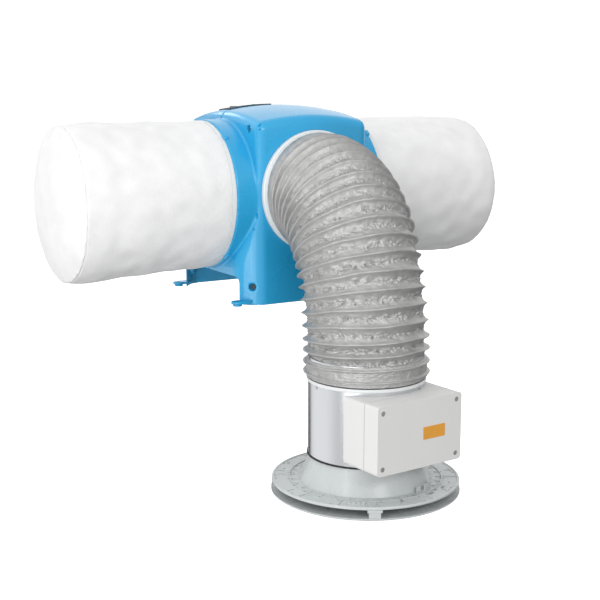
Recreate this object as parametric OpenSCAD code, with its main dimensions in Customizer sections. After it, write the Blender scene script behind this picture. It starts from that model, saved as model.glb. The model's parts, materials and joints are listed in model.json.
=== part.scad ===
/* [Housing] */
// Height of the filter axis above the feet
axis_z = 187; // [182:1:190]
// Outside radius of the two filter collars
collar_r = 133.3; // [132.5:0.1:134]
// Distance from the middle plane to a collar's rim
rim_x = 150; // [147:0.5:153]
// Distance from the middle plane to the front or rear face
face_y = 138; // [136:1:142]
// Half width of the flat front face
face_half_w = 111; // [108:1:114]
// Half width of the housing at its feet
base_half_w = 140; // [138:1:143]
// Half width of the housing above the filter axis
top_half_w = 112.5; // [111:0.5:114]
// Highest point of the domed top
dome_top_z = 345; // [342:1:350]
// Radius of the domed top
dome_r = 530; // [500:10:600]
// Wall of the moulded shells
wall = 3; // [2.5:0.5:4]
// Height of the opening between the front and rear feet
arch_h = 49; // [44:1:50]
// Half length of the opening between the feet
arch_half_l = 108; // [100:1:110]

/* [Feet] */
// Half spacing of the foot holes, side to side
foot_x = 146.5; // [145:0.5:149]
// Half spacing of the foot holes, front to back
foot_y = 121.5; // [118:0.5:123]
// Radius of a foot hole
foot_hole_r = 2.75; // [2:0.25:3.5]

/* [Duct] */
// Height of the outlet's centre above the feet
spigot_z = 196.5; // [194:0.5:199]
// Outside radius of the outlet spigot
spigot_r = 98.5; // [97:0.5:99]
// Outside radius of the duct over its ridges
duct_r = 105; // [104.5:0.5:108]
// Inside radius of the duct's end cuffs
duct_bore_r = 100.2; // [100:0.1:100.6]
// Reach of the duct's curve straight out of the spigot
duct_out = 80; // [70:1:95]
// Reach of the duct's curve straight up from the heater tube
duct_up = 226; // [215:1:235]
// Sideways distance of the heater tube's axis from the middle
drop_x = -6; // [-10:1:0]
// Forward distance of the heater tube's axis from the middle
drop_y = 318; // [312:1:324]
// Number of wire hoops in the duct's ridges
hoops = 17; // [14:1:20]

/* [Heater] */
// Outside radius of the heater tube
tube_r = 98.5; // [97:0.5:99]
// Sheet thickness of the heater tube
tube_wall = 1.5; // [1:0.25:2]
// Height of the duct's lower end, below the feet
duct_end_z = -91; // [-94:1:-88]
// Height of the heater tube's lower end
tube_low_z = -230.5; // [-233:0.5:-228]
// Width of the electrical box
box_w = 175; // [170:0.5:180]
// Height of the electrical box
box_h = 113; // [108:1:116]
// Height of the electrical box's top face
box_top_z = -111; // [-114:0.5:-109]
// Distance from the tube's axis to the lid's face
lid_face = 141; // [138:0.5:144]
// Depth of the lid
lid_d = 34; // [30:1:37]
// Angle of the box around the tube
box_turn = 4.5; // [0:0.5:8]
// Wall of the box and lid
box_wall = 3; // [2.5:0.5:4]

/* [Diffuser] */
// Height of the ceiling flange's upper face
flange_z = -276; // [-278:1:-274]
// Outside radius of the ceiling flange
flange_r = 160; // [159:1:163]
// Circle through the ceiling screw holes
ceiling_pcd = 286; // [284:1:290]
// Radius of a ceiling screw hole
ceiling_hole_r = 2.25; // [2:0.25:3]
// Outside radius of the round baffle disc
disc_r = 161; // [159:1:164]
// Height of the baffle disc's lower face
disc_low_z = -297; // [-299:1:-295]

/* [Filters] */
// Outside radius of a filter bag
bag_r = 132; // [131:0.5:132.5]
// Distance from the middle plane to a bag's outer end
bag_end = 444; // [430:1:450]
// Thickness of the filter cloth
cloth = 3; // [2:0.5:4]

/* [Fan] */
// Outside radius of the impeller
wheel_r = 70; // [66:1:72]
// Length of the impeller along its axis
wheel_l = 112; // [100:1:116]
// Number of blades
blades = 36; // [24:1:40]
// Distance of the impeller's axis behind the middle
fan_y = 12; // [8:1:14]
// Height of the impeller's axis above the feet
fan_z = 170; // [168:1:172]

/* [Hidden] */
$fn = 96;

collar_bore = collar_r - 3.5;
flare_low = 57;
flare_high = 185;
floor_z = arch_h + 1;
floor_t = 3;
recess_r = 6.5;
scroll_half_w = 62;
scroll_wall = 2;
outlet_low = fan_z - 28;
outlet_h = 138;
duct_start = -148;
plate_y = -130.2;
inlet_r = 58;
shaft_r = 4;
ring_in = 133;      // how far in a filter ring's sleeve reaches
ring_out = 162;     // outer end of a filter ring
lip_w = 8;          // width of a filter ring's lip between collar and bag
ring_bore = 122;
box_back = 53;
box_low_z = box_top_z - box_h;
box_mid_z = box_top_z - box_h / 2;
split_y = lid_face - lid_d;
screw_in = 11;
flange_t = 3;
disc_t = 3;
disc_top_z = disc_low_z + disc_t;
gap_z = flange_z - flange_t;
panel_x = -49;
panel_y = 27;
panel_w = 86;
panel_d = 44;
panel_low = 300;    // the panel's cuts start inside, this high
button_x = panel_x - 20;
lens_x = panel_x + 22;
control_y = panel_y + 8;

blue = [0.16, 0.60, 0.82];
white = [0.93, 0.93, 0.92];
grey = [0.72, 0.72, 0.72];
steel = [0.78, 0.80, 0.82];
black = [0.12, 0.12, 0.13];
brass = [0.80, 0.66, 0.35];

// Points of a convex outline with each corner rounded off, r along each side
function unit(v) = v / norm(v);
function rounded(p, r, n = 4) = [for (i = [0 : len(p) - 1], k = [0 : n])
    let (q = p[i], a = q + r * unit(p[(i + len(p) - 1) % len(p)] - q),
        b = q + r * unit(p[(i + 1) % len(p)] - q), t = k / n)
    (1 - t) * (1 - t) * a + 2 * t * (1 - t) * q + t * t * b];
function ease(t) = (1 - cos(180 * max(0, min(1, t)))) / 2;
function side_x(z) = base_half_w - (base_half_w - top_half_w)
    * ease((z - flare_low) / (flare_high - flare_low));

module along_x(x0, x1, r, y = 0, z = axis_z) {
    translate([x0, y, z]) rotate([0, 90, 0]) cylinder(r = r, h = x1 - x0);
}
module along_y(y0, y1, r, x = 0, z = spigot_z) {
    translate([x, y0, z]) rotate([-90, 0, 0]) cylinder(r = r, h = y1 - y0);
}
module fan_x(x0, x1, r) along_x(x0, x1, r, fan_y, fan_z);
module fan_tube(x0, x1, r, bore) {
    difference() { fan_x(x0, x1, r); fan_x(x0 - 1, x1 + 1, bore); }
}
// Ring about the vertical duct axis
module drop_ring(z0, z1, r, bore) {
    translate([drop_x, -drop_y, z0]) difference() {
        cylinder(r = r, h = z1 - z0);
        translate([0, 0, -1]) cylinder(r = bore, h = z1 - z0 + 2);
    }
}

// ---------------------------------------------------------------- housing
module plan(d) {
    w = base_half_w - d;
    f = face_y - d;
    c = face_half_w - d * 0.4;
    k = arch_half_l - d * 0.4;
    half = [[c, f], [w, k], [w, -k], [c, -f], [-c, -f], [-w, -k], [-w, k], [-c, f]];
    polygon(rounded(half, 12));
}
module elevation(d) {
    zs = [for (k = [0 : 10]) flare_low + (flare_high - flare_low) * k / 10];
    right = concat([[base_half_w - d, -1]], [for (z = zs) [side_x(z) - d, z]],
        [[top_half_w - d, dome_top_z + 1]]);
    left = [for (i = [len(right) - 1 : -1 : 0]) [-right[i][0], right[i][1]]];
    polygon(concat(right, left));
}
module body_solid(d) {
    intersection() {
        linear_extrude(dome_top_z + 1) plan(d);
        translate([0, face_y + 5, 0]) rotate([90, 0, 0])
            linear_extrude(2 * face_y + 10) elevation(d);
        translate([0, 0, dome_top_z - dome_r]) sphere(r = dome_r - d, $fn = 192);
    }
}
// Lower screw pockets sit in the angled corners, upper ones in the flat sides
module at_pockets() {
    for (sx = [-1, 1]) {
        translate([sx * top_half_w, -104, 306]) rotate([0, sx * 90, 0]) children();
        translate([sx * 120.5, -128, 32]) rotate([0, 0, sx > 0 ? -44 : 224])
            rotate([0, 90, 0]) children();
    }
}
module ear(sx) {
    translate([sx * foot_x, -foot_y, 0]) difference() {
        union() {
            translate([0, 0, 4]) cylinder(r = 11, h = 4.5);
            cylinder(r = 8, h = 8);
            translate([sx > 0 ? -24 : 0, -11, 4]) cube([24, 22, 4.5]);
        }
        translate([0, 0, -1]) cylinder(r = foot_hole_r, h = 12);
    }
}
module shell_half() {
    difference() {
        union() {
            difference() {
                union() {
                    body_solid(0);
                    along_x(-rim_x, rim_x, collar_r);
                }
                translate([0, 0, -2]) body_solid(wall);
                intersection() {
                    body_solid(wall);
                    translate([-200, -200, 0]) cube([400, 400, 400]);
                }
            }
            intersection() {
                body_solid(0);
                at_pockets() translate([0, 0, -12]) cylinder(r = recess_r + 2, h = 20);
            }
            for (sx = [-1, 1], a = [51, -52]) translate([0, 0, axis_z]) rotate([a, 0, 0])
                translate([sx * (rim_x - 3.5) - 3.5, -collar_r - 2.2, -6]) cube([7, 5, 12]);
            for (sx = [-1, 1]) difference() {
                ear(sx);
                translate([0, 0, -2]) body_solid(0.5);
            }
        }
        along_x(-rim_x - 10, rim_x + 10, collar_bore);
        along_y(-face_y - 10, -face_y + 20, spigot_r + 2);
        at_pockets() translate([0, 0, -8]) cylinder(r = recess_r, h = 30);
        at_pockets() translate([0, 0, -14]) cylinder(r = 2.2, h = 10);
        arch();
        translate([-200, 0, -10]) cube([400, 200, 400]);
    }
}
module arch() {
    r = 12;
    translate([-200, -arch_half_l, -5]) cube([400, 2 * arch_half_l, arch_h + 5 - r]);
    translate([-200, -arch_half_l + r, -5]) cube([400, 2 * (arch_half_l - r), arch_h + 5]);
    for (s = [-1, 1]) along_x(-200, 200, r, s * (arch_half_l - r), arch_h - r);
}
module panel_cut(d) {
    translate([panel_x - panel_w / 2 - d, panel_y - panel_d / 2 - d, panel_low])
        cube([panel_w + 2 * d, panel_d + 2 * d, 60]);
}
module dome_ball(d) translate([0, 0, dome_top_z - dome_r]) sphere(r = dome_r + d, $fn = 192);
module front_shell() color(blue) shell_half();
module rear_shell() color(blue) difference() {
    union() {
        mirror([0, 1, 0]) closed_half();
        difference() {
            intersection() {
                body_solid(0);
                panel_cut(2);
            }
            dome_ball(-8);
        }
    }
    difference() {
        panel_cut(0.2);
        dome_ball(-4.2);
    }
    translate([button_x, control_y, panel_low]) cylinder(r = 7.5, h = 60);
    translate([lens_x, control_y, panel_low]) cylinder(r = 3, h = 60);
    along_y(face_y - 20, face_y + 10, 8.2, 70, 80);
}
// The rear half has the same walls and feet, and no outlet hole
module closed_half() {
    shell_half();
    intersection() {
        difference() { body_solid(0); body_solid(wall); }
        along_y(-face_y - 10, -face_y + 12, spigot_r + 2.5);
    }
}
module base_plate() color(steel) difference() {
    intersection() {
        body_solid(wall + 0.3);
        translate([-200, -200, floor_z]) cube([400, 400, floor_t]);
    }
    along_x(-200, 200, collar_bore);
    for (sx = [-1, 1], sy = [-1, 1])
        translate([sx * 48, sy * 60, floor_z - 1]) cylinder(r = 3, h = floor_t + 2);
}
module screw_at_pocket() {
    translate([0, 0, -8]) cylinder(r = 4.5, h = 3);
    translate([0, 0, -16]) cylinder(r = 2, h = 8);
}
module shell_screws() color(steel) {
    at_pockets() screw_at_pocket();
    mirror([0, 1, 0]) at_pockets() screw_at_pocket();
}
// The panel follows the dome and stands a little proud of it
module control_panel() color(black) difference() {
    intersection() {
        panel_cut(0);
        dome_ball(1.8);
    }
    dome_ball(-4.1);
    translate([button_x, control_y, panel_low]) cylinder(r = 7.5, h = 60);
    translate([lens_x, control_y, panel_low]) cylinder(r = 3, h = 60);
}
button_top = 342.4;
module speed_button() color(grey) translate([button_x, control_y, 0]) {
    translate([0, 0, button_top - 8]) cylinder(r = 7, h = 8);
    translate([0, 0, button_top - 13]) cylinder(r = 4, h = 5.5);
}
module indicator_lens() color([0.3, 0.8, 0.4]) translate([lens_x, control_y, 336])
    cylinder(r = 3, h = 9.6);

// ---------------------------------------------------------------- duct
module outlet_spigot() color(white) difference() {
    union() {
        along_y(-160, plate_y, spigot_r);
        along_y(-face_y + wall + 0.6, -face_y + wall + 2.5, spigot_r + 4.5);
        along_y(-face_y - 8, -face_y + wall, spigot_r + 1.5);
    }
    along_y(-170, plate_y + 1, spigot_r - 2.5);
}
// Joins the scroll's square mouth to the round spigot
module outlet_plate() color(steel) difference() {
    along_y(plate_y, plate_y + 3, spigot_r + 4.5);
    intersection() {
        translate([-scroll_half_w + scroll_wall, plate_y - 1, outlet_low + scroll_wall])
            cube([2 * (scroll_half_w - scroll_wall), 5, outlet_h - 2 * scroll_wall]);
        along_y(plate_y - 1, plate_y + 4, spigot_r - 2.5);
    }
}
// The duct's centre line is one curve: straight out of the spigot, straight down onto the tube
duct_nodes = [[0, duct_start, spigot_z], [0, duct_start - duct_out, spigot_z],
    [drop_x, -drop_y, duct_end_z + duct_up], [drop_x, -drop_y, duct_end_z]];
function duct_at(t) = let (p = duct_nodes, u = 1 - t)
    u * u * u * p[0] + 3 * u * u * t * p[1] + 3 * u * t * t * p[2] + t * t * t * p[3];
function duct_dir(t) = let (p = duct_nodes, u = 1 - t)
    unit(u * u * (p[1] - p[0]) + 2 * u * t * (p[2] - p[1]) + t * t * (p[3] - p[2]));
function duct_ring(t, r) = let (d = duct_dir(t), side = unit([1, 0, 0] - d[0] * d), up = cross(d, side))
    [for (k = [0 : duct_sides - 1]) let (a = 360 * k / duct_sides)
        duct_at(t) + r * (cos(a) * side + sin(a) * up)];
duct_sides = 48;
duct_rings = 22;
// A tube with a wall, swept along the curve: outer rings first, then inner ones
module swept_tube(ro, ri) {
    n = duct_sides;
    m = duct_rings + 1;
    at = function(wall_i, i, k) wall_i * n * m + i * n + k % n;
    polyhedron(
        [for (r = [ro, ri], i = [0 : duct_rings]) each duct_ring(i / duct_rings, r)],
        concat(
            [for (i = [0 : duct_rings - 1], k = [0 : n - 1])
                [at(0, i, k), at(0, i, k + 1), at(0, i + 1, k + 1), at(0, i + 1, k)]],
            [for (i = [0 : duct_rings - 1], k = [0 : n - 1])
                [at(1, i, k), at(1, i + 1, k), at(1, i + 1, k + 1), at(1, i, k + 1)]],
            [for (k = [0 : n - 1]) [at(0, 0, k), at(1, 0, k), at(1, 0, k + 1), at(0, 0, k + 1)]],
            [for (k = [0 : n - 1]) [at(0, m - 1, k), at(0, m - 1, k + 1),
                at(1, m - 1, k + 1), at(1, m - 1, k)]]));
}
module duct() color(grey) swept_tube(duct_r - 1, duct_bore_r);
// Wire hoops at equal steps along the curve
function run(n) = n == 0 ? 0 : run(n - 1) + norm(duct_at(n / duct_rings) - duct_at((n - 1) / duct_rings));
duct_l = run(duct_rings);
run_table = [for (n = [0 : duct_rings]) [run(n), n / duct_rings]];
module duct_wire() color(steel) for (i = [1 : hoops - 1]) {
    t = lookup(duct_l * i / hoops, run_table);
    d = duct_dir(t);
    translate(duct_at(t)) rotate([0, acos(d[2]), atan2(d[1], d[0])])
        rotate_extrude($fn = 64) translate([duct_r - 0.9, 0]) circle(r = 0.9, $fn = 16);
}

// ---------------------------------------------------------------- fan
// Spiral outline about the impeller's axis, from the cut-off under the outlet, round the back
function spiral_r(a) = wheel_r + 9 + 31 * a / 250;
module scroll_outline(d) {
    polygon([for (a = [0 : 10 : 250]) let (r = spiral_r(a) - d)
        [r * sin(-110 - a), r * cos(-110 - a)]]);
    translate([-127 - fan_y, outlet_low - fan_z + d]) square([127 + fan_y, outlet_h - 2 * d]);
}
module extrude_x(x0, x1) translate([x0, fan_y, fan_z]) rotate([90, 0, 90])
    linear_extrude(x1 - x0) children();
module scroll_housing() color(steel) {
    inner_w = scroll_half_w - scroll_wall;
    difference() {
        extrude_x(-scroll_half_w, scroll_half_w) scroll_outline(0);
        extrude_x(-inner_w, inner_w) scroll_outline(scroll_wall);
        translate([-inner_w, -140, outlet_low + scroll_wall])
            cube([2 * inner_w, 40, outlet_h - 2 * scroll_wall]);
        fan_x(-100, 100, inlet_r + 3);
    }
    for (s = [-1, 1]) {
        translate([s > 0 ? inner_w : -scroll_half_w, -68, floor_z + floor_t + 8])
            cube([scroll_wall, 136, 45]);
        translate([s > 0 ? 38 : -scroll_half_w, -68, floor_z + floor_t + 8])
            cube([scroll_half_w - 38, 136, scroll_wall]);
    }
}
module inlet_ring() {
    translate([0, fan_y, fan_z]) rotate([0, 90, 0]) rotate_extrude()
        polygon([[inlet_r - 4, 55], [inlet_r, 58], [inlet_r + 3, scroll_half_w],
            [inlet_r + 10, scroll_half_w], [inlet_r + 10, scroll_half_w + 2],
            [inlet_r + 2, scroll_half_w + 2], [inlet_r - 3, 59], [inlet_r - 6, 55.4]]);
}
module right_inlet_ring() color(black) inlet_ring();
module left_inlet_ring() color(black) mirror([1, 0, 0]) inlet_ring();
module fan_mounts() color(black) for (sx = [-1, 1], sy = [-1, 1])
    translate([sx * 48, sy * 60, floor_z + floor_t]) cylinder(r = 8, h = 8);
module motor_stator() color(grey) {
    fan_tube(-50, -8, 24, 8);
    fan_tube(-52, -50, 30, 8);
}
module motor_bearings() color(steel) for (x = [-48, -18])
    fan_tube(x, x + 7, 8, shaft_r + 0.05);
bolt_r = 76;        // the bracket's bolts, from the fan's axis
module motor_bracket() color(steel) difference() {
    union() {
        fan_tube(-scroll_half_w - 7, -scroll_half_w - 5, 30, 10);
        for (a = [60 : 120 : 300]) translate([-scroll_half_w - 7, fan_y, fan_z])
            rotate([a, 0, 0]) translate([0, 27, -7]) cube([2, bolt_r - 20, 14]);
        fan_tube(-scroll_half_w - 6, -52, 14, 8);
    }
    for (a = [60 : 120 : 300]) translate([-scroll_half_w - 10, fan_y, fan_z])
        rotate([a, 0, 0]) translate([0, bolt_r, 0]) rotate([0, 90, 0]) cylinder(r = 3, h = 6);
}
module bracket_bushes() color(black) for (a = [60 : 120 : 300])
    translate([-scroll_half_w - 5, fan_y, fan_z]) rotate([a, 0, 0])
        translate([0, bolt_r, 0]) rotate([0, 90, 0]) difference() {
            cylinder(r = 6, h = 5);
            translate([0, 0, -1]) cylinder(r = 2, h = 7);
        }
module motor_rotor() color(steel) {
    difference() {
        fan_x(-46, -2, 30);
        fan_x(-47, -6, 26);
        fan_x(-50, 0, shaft_r);
    }
}
module motor_shaft() color(steel) fan_x(-50, -2, shaft_r);
module blade() {
    outer = [for (t = [0 : 0.25 : 1]) let (r = 56 + (wheel_r - 56) * t)
        [r * cos(16 * t * t), r * sin(16 * t * t)]];
    inner = [for (t = [1 : -0.25 : 0]) let (r = 56 + (wheel_r - 56) * t)
        [r * cos(16 * t * t + 1.4), r * sin(16 * t * t + 1.4)]];
    polygon(concat(outer, inner));
}
module impeller() color(grey) translate([0, fan_y, fan_z]) rotate([0, 90, 0]) {
    for (k = [0 : blades - 1]) rotate([0, 0, k * 360 / blades])
        translate([0, 0, -wheel_l / 2 + 6]) linear_extrude(wheel_l - 12) blade();
    for (s = [-1, 1]) translate([0, 0, s * (wheel_l / 2 - 8) - 2]) difference() {
        cylinder(r = wheel_r + 1, h = 4);
        translate([0, 0, -1]) cylinder(r = wheel_r - 5, h = 6);
    }
    translate([0, 0, -2]) difference() {
        cylinder(r = wheel_r - 1, h = 4);
        translate([0, 0, -1]) cylinder(r = 8, h = 6);
    }
}
board_z = 311;
module control_board() color([0.1, 0.45, 0.25]) {
    translate([panel_x - 42, panel_y - 12, board_z]) cube([84, 30, 1.6]);
    for (x = [-30, 0, 26]) translate([panel_x + x, panel_y - 4, board_z + 1.6]) cube([12, 12, 5]);
}
module mains_terminal_block() color(white)
    translate([52, face_y - wall - 26, floor_z + floor_t]) difference() {
        cube([40, 16, 14]);
        for (k = [0 : 2]) translate([8 + 12 * k, 8, 6]) cylinder(r = 3, h = 9);
    }
module housing_gland() color(black) difference() {
    union() {
        along_y(face_y - wall - 8, face_y + 10, 8, 70, 80);
        along_y(face_y, face_y + 4, 12, 70, 80);
        along_y(face_y - wall - 5, face_y - wall, 11, 70, 80);
    }
    along_y(face_y - 20, face_y + 12, 3.75, 70, 80);
}

// ---------------------------------------------------------------- filters
module filter_ring() {
    translate([0, 0, axis_z]) rotate([0, 90, 0]) rotate_extrude()
        polygon([[ring_bore, ring_in], [collar_bore - 0.6, ring_in], [collar_bore - 0.6, rim_x + 0.4],
            [collar_bore + 1.6, rim_x + 0.4], [collar_bore + 1.6, rim_x + lip_w],
            [bag_r - cloth - 0.2, rim_x + lip_w], [bag_r - cloth - 0.2, ring_out + 6],
            [ring_bore, ring_out + 6]]);
}
module filter_bag() {
    c = 26;
    i = bag_r - cloth;
    arc = [for (a = [0 : 15 : 90]) [bag_r - c + c * cos(a), bag_end - c + c * sin(a)]];
    arc_in = [for (a = [90 : -15 : 0]) [i - c + c * cos(a), bag_end - cloth - c + c * sin(a)]];
    translate([0, 0, axis_z]) rotate([0, 90, 0]) rotate_extrude()
        polygon(concat([[bag_r, rim_x + lip_w + 0.2]], arc, [[0, bag_end]], [[0, bag_end - cloth]],
            arc_in, [[i, rim_x + lip_w + 0.2]]));
}
module filter_cage() {
    far = bag_end - 38;
    cage_r = 116;
    for (x = [ring_out + 4, (ring_out + far) / 2, far]) translate([x, 0, axis_z])
        rotate([0, 90, 0]) rotate_extrude() translate([cage_r - 2, -2]) square([4, 4]);
    for (a = [22.5 : 45 : 360]) translate([ring_out + 3, 0, axis_z]) rotate([a, 0, 0])
        translate([0, cage_r - 0.4, 0]) rotate([0, 90, 0]) cylinder(r = 1.5, h = far - ring_out - 3);
    for (a = [22.5, 112.5]) translate([far, 0, axis_z]) rotate([a, 0, 0])
        translate([0, 1 - cage_r, 0]) rotate([-90, 0, 0]) cylinder(r = 1.5, h = 2 * cage_r - 2);
}
module right_filter_ring() color(white) filter_ring();
module right_filter_bag() color(white) filter_bag();
module right_filter_cage() color(steel) filter_cage();
module left_filter_ring() color(white) mirror([1, 0, 0]) filter_ring();
module left_filter_bag() color(white) mirror([1, 0, 0]) filter_bag();
module left_filter_cage() color(steel) mirror([1, 0, 0]) filter_cage();

// ---------------------------------------------------------------- heater
module on_box() translate([drop_x, -drop_y, 0]) rotate([0, 0, box_turn]) children();
module box_block(y0, y1, d, r = 6) {
    translate([0, -y0, box_mid_z]) rotate([90, 0, 0]) linear_extrude(y1 - y0) {
        w = box_w / 2 - d;
        h = box_h / 2 - d;
        polygon(rounded([[w, h], [-w, h], [-w, -h], [w, -h]], r));
    }
}
module at_lid_screws() for (sx = [-1, 1], sz = [-1, 1])
    translate([sx * (box_w / 2 - screw_in), 0, box_mid_z + sz * (box_h / 2 - screw_in)]) children();
module heater_tube() color(steel) {
    difference() {
        drop_ring(tube_low_z, duct_end_z + 28, tube_r, tube_r - tube_wall);
        on_box() translate([0, -70, lead_z]) rotate([90, 0, 0]) cylinder(r = 16, h = 40);
    }
    translate([drop_x, -drop_y, duct_end_z - 13]) rotate_extrude()
        polygon([[tube_r - 0.5, -2], [tube_r + 1.2, 0], [tube_r - 0.5, 2]]);
}
module lower_duct_clamp() color(steel) {
    drop_ring(duct_end_z - 7, duct_end_z + 1, tube_r + 0.8, tube_r + 0.2);
    translate([drop_x - 9, -drop_y + tube_r + 0.4, duct_end_z - 7]) cube([18, 6, 6.5]);
}
module tube_screws() color(steel) for (a = [-60 : 120 : 180])
    translate([drop_x, -drop_y, duct_end_z - 17]) rotate([0, 0, a - 30]) rotate([90, 0, 0]) {
        translate([0, 0, tube_r]) cylinder(r = 3, h = 1.8);
        translate([0, 0, tube_r - 6]) cylinder(r = 1.5, h = 6.5);
    }
coil_z = -190;      // lowest turn of the heating element
coil_step = 12;
rod_r = 3.2;
lead_z = -168;
cutout_z = -180;
module heater_element() color(steel) {
    for (k = [0 : 3]) translate([drop_x, -drop_y, coil_z + coil_step * k]) rotate_extrude()
        translate([66 - 8 * k, 0]) circle(r = rod_r, $fn = 24);
    for (k = [0 : 2]) translate([drop_x + 62 - 8 * k, -drop_y, coil_z + coil_step * k])
        cylinder(r = 2, h = coil_step);
    for (sx = [-1, 1]) on_box() {
        translate([sx * 10, -63, lead_z]) rotate([90, 0, 0]) cylinder(r = rod_r, h = 42);
        translate([sx * 10, -64.5, coil_z - 1]) cylinder(r = rod_r, h = lead_z - coil_z + 2);
    }
}
bar_l = 2 * (tube_r - tube_wall) - 0.6;
module element_bracket() color(steel) for (a = [0, 90])
    translate([drop_x, -drop_y, coil_z - rod_r - 3]) rotate([0, 0, a + 20])
        translate([-bar_l / 2, -6, 0]) cube([bar_l, 12, 3]);
module thermostat() color(black) on_box() {
    translate([34, -96, cutout_z]) rotate([90, 0, 0]) cylinder(r = 8, h = 10);
    translate([22, -103.1, cutout_z - 4]) cube([24, 3, 8]);
}
module heater_box() color(white) on_box() difference() {
    union() {
        difference() {
            box_block(box_back, split_y - 1, 0);
            box_block(box_back - 1, split_y, box_wall, 4);
        }
        intersection() {
            box_block(box_back, split_y - 1, 0);
            translate([0, 0, box_low_z - 1]) cylinder(r = tube_r + 4, h = box_h + 2);
        }
        intersection() {
            box_block(box_back, split_y - 1, 0);
            at_lid_screws() rotate([90, 0, 0]) cylinder(r = 6.5, h = split_y - 1);
        }
    }
    translate([0, 0, box_low_z - 5]) cylinder(r = tube_r + 0.2, h = box_h + 10);
    at_lid_screws() rotate([90, 0, 0]) translate([0, 0, split_y - 24]) cylinder(r = 1.9, h = 30);
    translate([0, -70, lead_z]) rotate([90, 0, 0]) cylinder(r = 18, h = 34);
    translate([34, -80, cutout_z]) rotate([90, 0, 0]) cylinder(r = 9, h = 25);
    translate([box_w / 2 - 10, -86, gland_z]) rotate([0, 90, 0]) cylinder(r = 8.2, h = 20);
}
module lid_gasket() color(black) on_box() difference() {
    box_block(split_y - 1, split_y, 0.6);
    box_block(split_y - 2, split_y + 1, box_wall, 4);
    at_lid_screws() rotate([90, 0, 0]) translate([0, 0, split_y - 5]) cylinder(r = 2.2, h = 10);
}
module heater_box_lid() color(white) on_box() difference() {
    union() {
        difference() {
            box_block(split_y, lid_face, 0);
            box_block(split_y - 1, lid_face - box_wall, box_wall, 4);
        }
        intersection() {
            box_block(split_y, lid_face, 0);
            at_lid_screws() rotate([90, 0, 0]) cylinder(r = 6.5, h = lid_face);
        }
    }
    at_lid_screws() rotate([90, 0, 0]) cylinder(r = 2.2, h = lid_face + 5);
    at_lid_screws() rotate([90, 0, 0]) translate([0, 0, lid_face - 4]) cylinder(r = 4.2, h = 10);
}
module lid_screws() color(grey) on_box() at_lid_screws() rotate([90, 0, 0]) {
    translate([0, 0, lid_face - 4]) cylinder(r = 4, h = 3.2);
    translate([0, 0, split_y - 14]) cylinder(r = 1.8, h = lid_d + 10.5);
}
module box_label() color([0.96, 0.70, 0.22]) on_box()
    translate([6, -lid_face - 0.4, box_mid_z - 11]) cube([46, 0.4, 21]);
gland_z = -198;
module box_gland() color(black) on_box() translate([box_w / 2, -86, gland_z]) rotate([0, 90, 0])
    difference() {
        union() {
            translate([0, 0, -8]) cylinder(r = 8, h = 20);
            cylinder(r = 11.5, h = 5, $fn = 6);
            translate([0, 0, -box_wall - 4]) cylinder(r = 10, h = 4);
        }
        translate([0, 0, -10]) cylinder(r = 3.75, h = 30);
    }
module box_terminal_block() color(white) on_box() translate([-52, -118.2, -150]) difference() {
    cube([44, 16, 14]);
    for (k = [0 : 2]) translate([8 + 14 * k, 8, 6]) cylinder(r = 3, h = 9);
}

// ---------------------------------------------------------------- diffuser
neck_r = tube_r - tube_wall - 0.3;
module neck_seal() color(black) drop_ring(tube_low_z - 2.5, tube_low_z, tube_r + 1.4, neck_r + 0.1);
neck_top = tube_low_z - 2.5;
function neck_x(t) = neck_r + 22 * ease(t / 2) + 6 * t;
module diffuser_flange() color(white) translate([drop_x, -drop_y, 0]) difference() {
    union() {
        rotate_extrude() {
            flare = [for (t = [0 : 0.125 : 1]) [neck_x(t), neck_top + (flange_z - neck_top) * t]];
            under = [for (t = [1 : -0.125 : 0]) [neck_x(t) - 3, neck_top + (gap_z - neck_top) * t]];
            polygon(concat([[neck_r - 3, tube_low_z + 20], [neck_r, tube_low_z + 20]], flare,
                [[flange_r - 5, flange_z], [flange_r - 4, flange_z + 1.4], [flange_r - 1, flange_z + 1],
                [flange_r, flange_z - 0.5], [flange_r, gap_z]], under));
        }
        // raised circle and the ribs on the upper face
        translate([0, 0, flange_z - 0.5]) difference() {
            cylinder(r = 131, h = 2);
            translate([0, 0, -1]) cylinder(r = 129, h = 4);
        }
        for (k = [0 : 31]) rotate([0, 0, k * 360 / 32]) translate([120, -0.6, flange_z - 0.5])
            cube([9.5, 1.2, 2]);
        for (k = [0 : 7]) rotate([0, 0, 12 + k * 45]) translate([130.5, -0.6, flange_z - 0.5])
            cube([25, 1.2, 2]);
    }
    for (k = [0 : 3]) rotate([0, 0, 45 + k * 90]) translate([ceiling_pcd / 2, 0, gap_z - 5])
        cylinder(r = ceiling_hole_r, h = 12);
    for (k = [0 : 2]) rotate([0, 0, clip_a + k * 120]) translate([clip_r, 0, gap_z - 5])
        cylinder(r = 2.4, h = 12);
}
clip_a = -118;      // the front clip's place round the flange
clip_r = 149;
module diffuser_disc() color(white) translate([drop_x, -drop_y, 0]) difference() {
    rotate_extrude() polygon([[0, disc_low_z], [disc_r - 2, disc_low_z], [disc_r, disc_low_z + 1.5],
        [disc_r, disc_top_z + 0.6], [disc_r - 1.4, disc_top_z + 0.6], [disc_r - 2.4, disc_top_z],
        [0, disc_top_z]]);
    for (k = [0 : 2]) rotate([0, 0, clip_a + k * 120]) translate([clip_r, 0, disc_low_z - 1])
        cylinder(r = 2.4, h = 8);
}
module disc_clips() color(white) translate([drop_x, -drop_y, 0])
    for (k = [0 : 2]) rotate([0, 0, clip_a + k * 120]) translate([clip_r, 0, 0]) {
        translate([-4, -9.5, disc_top_z]) cube([13.5, 19, gap_z - disc_top_z - 0.4]);
        translate([1, -12, gap_z - 5]) cube([10, 24, 4.6]);
        translate([0, 0, disc_low_z + 0.5]) cylinder(r = 2.4, h = 8);
        translate([0, 0, gap_z - 2]) cylinder(r = 2, h = 7);
    }

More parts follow.
